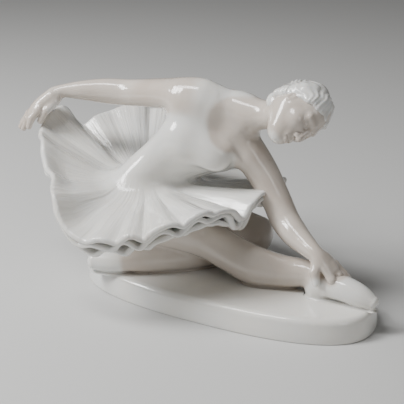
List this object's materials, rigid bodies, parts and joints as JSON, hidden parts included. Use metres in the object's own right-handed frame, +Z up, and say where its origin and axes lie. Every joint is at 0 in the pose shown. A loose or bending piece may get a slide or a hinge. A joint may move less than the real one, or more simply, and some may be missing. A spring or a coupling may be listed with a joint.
{
  "type": "porcelain figurine",
  "caption": "Glazed porcelain figurine of a seated ballerina in a tutu, leaning forward to hold the ankle of the stretched leg, on an oval plinth.",
  "frame": {"origin": "centre of the whole figure's bounding box, at the bottom of the plinth's foot ring", "axes": "+X along the plinth towards the pointed shoe, +Z up, -Y the side the chest and face turn to"},
  "size_m": [0.2798, 0.1702, 0.1634],
  "materials": {
    "plinth": "glossy white porcelain glaze",
    "torso": "glossy white porcelain glaze",
    "hips": "glossy white porcelain glaze",
    "head": "glossy porcelain glaze with a pale warm grey tint",
    "hair": "glossy white porcelain glaze",
    "hair_bun": "glossy white porcelain glaze",
    "right_arm": "glossy porcelain glaze with a pale warm grey tint",
    "right_hand": "glossy porcelain glaze with a pale warm grey tint",
    "right_thigh": "glossy porcelain glaze with a pale warm grey tint",
    "right_shin": "glossy porcelain glaze with a pale warm grey tint",
    "right_shoe": "glossy white porcelain glaze",
    "left_arm": "glossy porcelain glaze with a pale warm grey tint",
    "left_hand": "glossy porcelain glaze with a pale warm grey tint",
    "left_thigh": "glossy porcelain glaze with a pale warm grey tint",
    "left_shin": "glossy porcelain glaze with a pale warm grey tint",
    "left_shoe": "glossy white porcelain glaze",
    "tutu_top": "glossy white porcelain glaze",
    "tutu_middle": "glossy white porcelain glaze",
    "tutu_under": "glossy white porcelain glaze"
  },
  "bodies": {
    "root": {"plinth": "plinth", "torso": "torso", "hips": "hips", "head": "head", "hair": "hair", "hair_bun": "hair_bun", "right_arm": "right_arm", "right_hand": "right_hand", "right_thigh": "right_thigh", "right_shin": "right_shin", "right_shoe": "right_shoe", "left_arm": "left_arm", "left_hand": "left_hand", "left_thigh": "left_thigh", "left_shin": "left_shin", "left_shoe": "left_shoe", "tutu_top": "tutu_top", "tutu_middle": "tutu_middle", "tutu_under": "tutu_under"}
  },
  "joints": []
}
